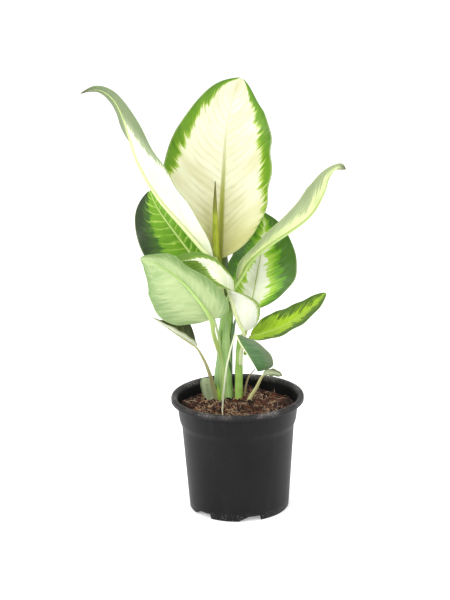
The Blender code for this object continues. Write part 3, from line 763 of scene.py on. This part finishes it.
def stemMaterial(name, stem):
    paint = Paint(name)
    u, v, _ = paint.split(paint.uv())
    streak = paint.noise(paint.point(u * 16, v * 2.5, 0.7), 1, 3)
    patch = paint.noise(paint.place(), 60, 2)
    light, middle, dark = [tint(code) for code in stem["tints"]]
    colour = paint.mix(paint.step(patch, 0.4, 0.62), light, middle)
    # the top colour: on the main stem painted shade, on the other stalks their own colour
    if "top" in stem:
        _, _, height = paint.split(paint.place())
        start, end = [edge * mm for edge in stem["above"]]
        colour = paint.mix(paint.step(height + (patch - 0.5) * 0.01, start, end), colour, tint(stem["top"]))
    colour = paint.mix(paint.step(streak, 0.52, 0.7) * 0.6, colour, dark)
    normal = paint.bump(streak, 0.4, 0.001)
    return paint.finish(colour, 0.42 + (streak - 0.5) * 0.2, normal)


# A sheath wraps part of the main stem and narrows to a point. facing: the way it looks, in degrees from the
# front towards the right, at base and tip; spread: how far it reaches each way; lift: how far it stands off
# the stem at base and tip; tints: light, shade and the lines along it; point: how early it narrows.
sheaths = {
    "sheathLeft": {
        "bottom": 86, "top": 152, "facing": (-55, -30), "spread": 62, "lift": (0.6, 1.6),
        "tints": ("96bd76", "86ac6c", "b6d48a"), "point": 0.8,
    },
    "sheathFront": {
        "bottom": 86, "top": 181, "facing": (35, -8), "spread": 58, "lift": (0.9, 3.2),
        "tints": ("a3c676", "8cb466", "cbe39c"), "point": 0.7,
    },
    "sheathRight": {
        "bottom": 118, "top": 178, "facing": (62, 70), "spread": 50, "lift": (0.7, 4.5),
        "tints": ("587c48", "486a3c", "8cae6c"), "point": 0.6,
    },
}
sheathGrid = {"across": 30, "along": 90, "thickness": 0.5}


def sheathShape(sheath, x, v):
    stem = stems["mainStem"]
    heights = sheath["bottom"] + (sheath["top"] - sheath["bottom"]) * v
    fine = np.linspace(0, len(stem["points"]) - 1, 300)
    places = np.interp(heights, curveAt(stem["points"], fine)[:, 2], fine)
    middle = curveAt(stem["points"], places)
    low, high = sheath["lift"]
    radius = curveAt([(r,) for r in stem["radii"]], places)[:, 0] + low + (high - low) * v**4
    start, end = sheath["facing"]
    narrow = np.maximum(1 - v, 0.002) ** sheath["point"]
    turn = np.radians(start + (end - start) * v + x * sheath["spread"] * narrow)
    wave = 0.25 * np.sin(9 * v + 2 * x)
    across = np.stack([np.sin(turn), -np.cos(turn), 0 * turn], axis=1)
    return middle + across * (radius + wave)[:, None]


def sheathMaterial(name, tints):
    paint = Paint(name)
    u, v, _ = paint.split(paint.uv())
    streak = paint.noise(paint.point(u * 12, v * 2, 0.4), 1, 3)
    patch = paint.noise(paint.place(), 70, 2)
    light, shade, line = [tint(code) for code in tints]
    colour = paint.mix(paint.step(patch, 0.35, 0.65), light, shade)
    off = abs(u * 2 - 1)
    colour = paint.mix((1 - paint.step(off, 0.02, 0.12)) * 0.6, colour, line)
    colour = paint.mix(paint.step(off, 0.88, 0.98) * 0.7, colour, line)
    colour = paint.mix(paint.step(streak, 0.55, 0.7) * 0.35, colour, line)
    return paint.finish(colour, 0.45, paint.bump(streak, 0.4, 0.001))


def makeStems():
    for name, stem in stems.items():
        mesh = tubeMesh(name, stemGrid["around"], stemGrid["along"], lambda turn, v: stemShape(stem, turn, v))
        addPiece(name, mesh, [stemMaterial(name, stem)], stem["node"])
    for name, sheath in sheaths.items():
        across, along = sheathGrid["across"], sheathGrid["along"]
        mesh = sheetMesh(name, across, along, lambda x, v: sheathShape(sheath, x, v))
        piece = addPiece(name, mesh, [sheathMaterial(name, sheath["tints"])], "main_stem")
        thicken(piece, sheathGrid["thickness"])
    print("made the stems")


# notches: where the foot is cut away, in degrees from the front; each rises along its ramp to its full height
pot = {
    "height": 105.5, "rimRadius": 60, "footRadius": 45.25, "collarBottom": 82, "collarRadius": 52.6,
    "collarStep": 1.5, "neckRadius": 55, "wall": 1.4, "lipDepth": 5, "baseRaise": 5, "baseThickness": 1.6,
    "notches": (-48.5, 11.5, 131.5, 191.5), "notchHalfWidth": 10.6, "notchRamp": 9.6, "notchHeight": 4.4,
    "steps": 360, "holes": 6, "holeCircle": 31, "holeRadius": 4, "holeSides": 28, "sharpAngle": 35,
}


def wallRadius(height):
    # the outside of the tapered wall
    slope = (pot["collarRadius"] - pot["collarStep"] - pot["footRadius"]) / pot["collarBottom"]
    return pot["footRadius"] + slope * height


def innerRadius(height):
    # the inside of the wall, and of the wider neck above the collar
    if height < pot["collarBottom"]:
        return wallRadius(height) - pot["wall"]
    share = (height - pot["collarBottom"]) / (pot["height"] - pot["lipDepth"] - pot["collarBottom"])
    spread = pot["neckRadius"] - pot["collarRadius"] + pot["collarStep"]
    return wallRadius(pot["collarBottom"]) - pot["wall"] + share * spread


def potProfile():
    # radius and height, from the middle of the floor, up the inside, over the lip and down to the foot
    top, rim, wall = pot["height"], pot["rimRadius"], pot["wall"]
    lip = top - pot["lipDepth"]
    mouth = innerRadius(lip)
    floor = pot["baseRaise"] + pot["baseThickness"]
    collar = pot["collarBottom"]
    return [
        (0, floor), (30, floor), (innerRadius(floor) - 1.2, floor), (innerRadius(floor + 1.2), floor + 1.2),
        (innerRadius(40), 40), (innerRadius(collar), collar), (mouth, lip),
        (mouth + 0.4, top - 3), (mouth + 1.2, top - 1.5), (mouth + 2.2, top - 0.5), (mouth + 3.2, top - 0.1),
        (rim - 2.2, top), (rim - 1.1, top - 0.2), (rim - 0.4, top - 0.7), (rim, top - 1.8),
        (rim, lip + 0.5), (rim - 0.4, lip), (rim - wall, lip), (rim - wall, top - 2.2),
        (pot["neckRadius"] + 0.6, top - 2.2), (pot["neckRadius"], lip),
        (pot["collarRadius"] + 0.3, collar + 1.8), (pot["collarRadius"] - 0.2, collar),
        (wallRadius(collar - 2) + 0.7, collar - 2),
        (wallRadius(collar - 4) + 0.15, collar - 4), (wallRadius(collar - 5.5), collar - 5.5),
        (wallRadius(40), 40), (wallRadius(8), 8), (wallRadius(0.6), 0.6),
        (pot["footRadius"] - 0.4, 0), (pot["footRadius"] - wall + 0.2, 0),
        (pot["footRadius"] - wall, 0.5), (pot["footRadius"] - wall + 0.3, pot["baseRaise"]),
        (30, pot["baseRaise"]), (0, pot["baseRaise"]),
    ]


def notchLift(angle):
    # how high the foot is cut away at this angle from the front, in degrees
    for middle in pot["notches"]:
        off = (angle - middle + 180) % 360 - 180
        along = math.radians(off) * pot["footRadius"]
        if -pot["notchHalfWidth"] < along < pot["notchHalfWidth"]:
            return pot["notchHeight"] * min(1, (along + pot["notchHalfWidth"]) / pot["notchRamp"])
    return 0


def cutNotches(bm):
    for vertex in bm.verts:
        x, y, z = vertex.co / mm
        if z < 1 and math.hypot(x, y) > pot["footRadius"] - 3:
            lift = notchLift(math.degrees(math.atan2(x, -y)))
            if lift > z:
                grow = wallRadius(lift) / wallRadius(0)
                vertex.co = Vector((x * grow, y * grow, lift + z * 0.3)) * mm


def drillHoles(piece):
    # the round drainage holes in the floor
    bm = bmesh.new()
    for number in range(pot["holes"]):
        angle = 2 * math.pi * number / pot["holes"]
        out = Vector((math.cos(angle), math.sin(angle), 0)) * pot["holeCircle"]
        bmesh.ops.create_cone(
            bm, cap_ends=True, segments=pot["holeSides"], radius1=pot["holeRadius"] * mm,
            radius2=pot["holeRadius"] * mm, depth=3 * pot["baseRaise"] * mm,
            matrix=Matrix.Translation((out + Vector((0, 0, pot["baseRaise"]))) * mm),
        )
    tool = link("holeTool", meshOf(bm, "holeTool", False))
    drill = piece.modifiers.new("holes", "BOOLEAN")
    drill.operation = "DIFFERENCE"
    drill.solver = "EXACT"
    drill.object = tool
    graph = bpy.context.evaluated_depsgraph_get()
    drilled = bpy.data.meshes.new_from_object(piece.evaluated_get(graph))
    piece.modifiers.clear()
    piece.data = drilled
    bpy.data.objects.remove(tool)
    drilled.set_sharp_from_angle(angle=math.radians(pot["sharpAngle"]))


def makePot():
    bm = bmesh.new()
    corners = [bm.verts.new((radius * mm, 0, height * mm)) for radius, height in potProfile()]
    edges = [bm.edges.new(pair) for pair in zip(corners, corners[1:])]
    bmesh.ops.spin(
        bm, geom=corners + edges, cent=(0, 0, 0), axis=(0, 0, 1), angle=2 * math.pi,
        steps=pot["steps"], use_merge=True,
    )
    bmesh.ops.remove_doubles(bm, verts=bm.verts, dist=1e-6)
    bmesh.ops.recalc_face_normals(bm, faces=bm.faces)
    cutNotches(bm)
    piece = addPiece("nurseryPot", meshOf(bm, "nurseryPot"), [potPlastic()], "nursery_pot")
    drillHoles(piece)
    print("made the pot")


def potPlastic():
    paint = Paint("potPlastic")
    place = paint.place()
    x, y, z = paint.split(place)
    grain = paint.noise(place, 1400, 2)
    cloud = paint.noise(place, 30, 4)
    drip = paint.noise(paint.point(x * 90, y * 90, z * 14), 1, 3)
    specks = paint.noise(place, 900, 3, 0.7)
    scuff = paint.noise(place, 650, 5, 0.75)
    # the top of the rim is lightened partly with dust and scuffs and partly with a painted highlight
    dustAndSheenPatch = paint.noise(place, 45, 2)
    lip = paint.step(z, 0.1, 0.1052) * (0.25 + paint.step(dustAndSheenPatch, 0.4, 0.62) * 0.75)
    colour = paint.mix(paint.step(cloud, 0.3, 0.7), tint("0c0c0e"), tint("141416"))
    colour = paint.mix(paint.step(drip, 0.5, 0.75) * 0.3, colour, tint("262626"))
    colour = paint.mix(paint.step(specks, 0.64, 0.74) * 0.18, colour, tint("8c857e"))
    colour = paint.mix(lip * 0.3, colour, tint("7a7573"))
    colour = paint.mix(paint.step(scuff, 0.52, 0.64) * lip * 0.7, colour, tint("a29b96"))
    foot = 1 - paint.step(z, 0.002, 0.01)
    colour = paint.mix(paint.step(scuff, 0.54, 0.66) * foot * 0.35, colour, tint("a39c94"))
    roughness = 0.45 + (cloud - 0.5) * 0.2 + paint.step(scuff, 0.5, 0.7) * lip * 0.2
    normal = paint.bump(grain * 0.6 + drip * 0.4, 0.12, 0.0004)
    return paint.finish(colour, roughness, normal, **{"Specular IOR Level": 0.16})


# top: how high the mix stands. topEnd and sideEnd: the shares of its grid that the top and the side end at.
# crumbs, lumps and chips: how many, and their smallest and largest radius. clear: how far they keep from each
# stem's middle.
mixing = {
    "top": 94, "around": 260, "along": 90, "topEnd": 0.86, "sideEnd": 0.97, "seed": 11,
    "crumbs": (1000, 0.4, 1.1), "lumps": (150, 1.4, 2.6), "chips": (220, 0.7, 1.7),
    "clear": {"mainStem": 9, "sideShoot": 5},
}
fibres = {"count": 760, "radius": 0.13, "length": (4, 13), "rise": 2.4, "steps": 6, "fromEdge": 9}


def mixEdge():
    # how far the mix reaches in the pot, just under its top
    return innerRadius(mixing["top"] - 3)


def mixHeight(x, y):
    waves = 0.8 * math.sin(0.11 * x + 1) + 0.7 * math.sin(0.13 * y + 0.4)
    waves += 0.4 * math.sin(0.21 * x - 0.17 * y)
    return mixing["top"] + waves - 0.02 * (20 - y)


def lumpHeight(x, y):
    spot = Vector((x, y, 0))
    lumps = noise.fractal(spot * 0.16, 1.0, 2.0, 3) * 2.0 + noise.fractal(spot * 0.55, 1.0, 2.0, 3) * 1.3
    return mixHeight(x, y) + lumps


def mixShape(turn, v):
    # the lumpy top from its middle to the edge, the side down to the floor, and the underside back again
    topEnd, sideEnd = mixing["topEnd"], mixing["sideEnd"]
    edge = mixEdge() - 0.35
    floor = pot["baseRaise"] + pot["baseThickness"] + 0.3
    low = innerRadius(floor) - 0.6
    places = []
    for angle, share in zip(turn, v):
        if share < topEnd:
            reach = edge * share / topEnd
            x, y = reach * math.cos(angle), reach * math.sin(angle)
            places.append((x, y, lumpHeight(x, y)))
        elif share < sideEnd:
            down = (share - topEnd) / (sideEnd - topEnd)
            x, y = edge * math.cos(angle), edge * math.sin(angle)
            top = lumpHeight(x, y)
            reach = edge + (low - edge) * down
            places.append((reach * math.cos(angle), reach * math.sin(angle), top + (floor - top) * down))
        else:
            reach = low * (1 - share) / (1 - sideEnd)
            places.append((reach * math.cos(angle), reach * math.sin(angle), floor))
    return np.array(places)


def mixMaterial(name, codes):
    # codes: the painted shade in the gaps between crumbs, the dark crumbs, the crumbs and their lit grains
    paint = Paint(name)
    place = paint.place()
    grain = paint.noise(place, 700, 4, 0.7)
    crumb = paint.noise(place, 260, 3, 0.6)
    patch = paint.noise(place, 60, 2)
    gapShade, dark, middle, light = [tint(code) for code in codes]
    colour = paint.mix(paint.step(crumb, 0.4, 0.62), dark, middle)
    colour = paint.mix(paint.step(patch, 0.35, 0.6) * 0.7, colour, dark)
    colour = paint.mix(paint.step(grain, 0.6, 0.72) * 0.7, colour, light)
    # painted shade: where the grain is low, the gaps between crumbs go nearly black
    colour = paint.mix(paint.step(grain, 0.3, 0.45), gapShade, colour)
    normal = paint.bump(grain, 0.9, 0.0015)
    return paint.finish(colour, 0.9, normal)


def fibreMaterial():
    paint = Paint("coirFibre")
    shade = paint.noise(paint.place(), 120, 2)
    colour = paint.mix(paint.step(shade, 0.35, 0.65), tint("7c4224"), tint("e4bf97"))
    return paint.finish(colour, 0.75)


def spotOnMix(dice, reach):
    # a spot on the top of the mix, clear of the stems
    feet = [(stems[name]["points"][0], gap) for name, gap in mixing["clear"].items()]
    while True:
        angle = dice.uniform(0, 2 * math.pi)
        radius = reach * math.sqrt(dice.random())
        x, y = radius * math.cos(angle), radius * math.sin(angle)
        if all(math.hypot(x - foot[0], y - foot[1]) > gap for foot, gap in feet):
            return x, y


def makeCrumbs(name, kind, material):
    # small uneven lumps, stretched and turned at random
    count, *sizes = mixing[kind]
    dice = random.Random(mixing["seed"] + count)
    bm = bmesh.new()
    for _ in range(count):
        size = dice.uniform(*sizes)
        x, y = spotOnMix(dice, mixEdge() - 1 - size)
        z = lumpHeight(x, y) + size * dice.uniform(-0.3, 0.5)
        spin = Matrix.Rotation(dice.uniform(0, math.pi), 4, (dice.uniform(-1, 1), dice.uniform(-1, 1), 0.3))
        stretch = Matrix.Diagonal((dice.uniform(0.8, 1.9), 1, dice.uniform(0.4, 0.8), 1))
        place = Matrix.Translation(Vector((x, y, z)) * mm) @ spin @ stretch
        made = bmesh.ops.create_icosphere(bm, subdivisions=1, radius=size * mm, matrix=place)
        for vertex in made["verts"]:
            vertex.co += Vector([dice.uniform(-0.22, 0.22) * size * mm for _ in range(3)])
    addPiece(name, meshOf(bm, name, False), [material], "potting_mix")


def makeFibres():
    dice = random.Random(mixing["seed"])
    curve = bpy.data.curves.new("coirFibres", "CURVE")
    curve.dimensions = "3D"
    curve.bevel_depth = fibres["radius"] * mm
    curve.bevel_resolution = 0
    curve.use_fill_caps = True
    steps = fibres["steps"]
    for _ in range(fibres["count"]):
        x, y = spotOnMix(dice, mixEdge() - fibres["fromEdge"])
        heading = dice.uniform(0, 2 * math.pi)
        length = dice.uniform(*fibres["length"])
        rise = dice.uniform(0, fibres["rise"])
        spline = curve.splines.new("POLY")
        spline.points.add(steps)
        for i, point in enumerate(spline.points):
            share = i / steps
            heading += dice.uniform(-0.5, 0.5)
            x += math.cos(heading) * length / steps
            y += math.sin(heading) * length / steps
            height = lumpHeight(x, y) + 0.5 + rise * math.sin(math.pi * share) - 0.6 * abs(share - 0.5)
            point.co = (x * mm, y * mm, height * mm, 1)
            point.radius = 1.2 - share
    curve.transform(Matrix.Translation(aside))
    addPiece("coirFibres", curve, [fibreMaterial()], "potting_mix")


def makeMix():
    peat = mixMaterial("peat", ("0a0403", "1c0d06", "432012", "8d5636"))
    bark = mixMaterial("bark", ("220d06", "4a2012", "783a22", "b57c54"))
    mesh = tubeMesh("pottingMix", mixing["around"], mixing["along"], mixShape)
    addPiece("pottingMix", mesh, [peat], "potting_mix")
    makeCrumbs("mixCrumbs", "crumbs", peat)
    makeCrumbs("mixLumps", "lumps", peat)
    makeCrumbs("mixChips", "chips", bark)
    makeFibres()
    print("made the potting mix")


# the camera's and the lights' places are in metres from the middle of the pot's foot
view = {"place": (-0.0096, -1.5, 0.6232), "pitch": 15.967, "roll": -1.12, "lens": 105.26, "sensor": 36}
surround = {"floorSize": 12, "floorTone": 0.93, "floorGlow": 0.32, "sky": 0.75, "aim": (0, 0, 0.2)}
lights = {
    "keyLight": {"place": (-1.1, -1.3, 1.5), "size": 1.3, "power": 26},
    "fillLight": {"place": (1.3, -1.2, 0.9), "size": 1.2, "power": 9},
    "topLight": {"place": (0.1, 0.5, 1.9), "size": 1.5, "power": 16},
}


def makeStage():
    bm = bmesh.new()
    bmesh.ops.create_grid(bm, x_segments=1, y_segments=1, size=surround["floorSize"])
    floor = link("floor", meshOf(bm, "floor", False))
    paper = Paint("paleFloor")
    tone = (*[surround["floorTone"]] * 3, 1)
    floor.data.materials.append(paper.finish(tone, 0.9, **{"Emission Strength": surround["floorGlow"]}))
    for name, light in lights.items():
        lamp = bpy.data.lights.new(name, "AREA")
        lamp.shape = "DISK"
        lamp.size = light["size"]
        lamp.energy = light["power"]
        stand = link(name, lamp)
        stand.location = Vector(light["place"]) + aside
        aim = Vector(surround["aim"]) + aside - stand.location
        stand.rotation_euler = aim.to_track_quat("-Z", "Y").to_euler()
    world = bpy.data.worlds.new("studio")
    world.use_nodes = True
    sky = world.node_tree.nodes["Background"]
    sky.inputs["Color"].default_value = (1, 1, 1, 1)
    sky.inputs["Strength"].default_value = surround["sky"]
    bpy.context.scene.world = world
    camera = link("camera", bpy.data.cameras.new("camera"))
    camera.data.lens = view["lens"]
    camera.data.sensor_width = view["sensor"]
    turn = Matrix.Rotation(math.radians(90 - view["pitch"]), 4, "X")
    lean = Matrix.Rotation(math.radians(view["roll"]), 4, "Z")
    camera.matrix_world = Matrix.Translation(Vector(view["place"]) + aside) @ turn @ lean
    bpy.context.scene.camera = camera
    bpy.context.scene.view_settings.view_transform = "Standard"
    print("made the stage")


makeStage()
makePot()
makeMix()
makeStems()
makeLeaves()
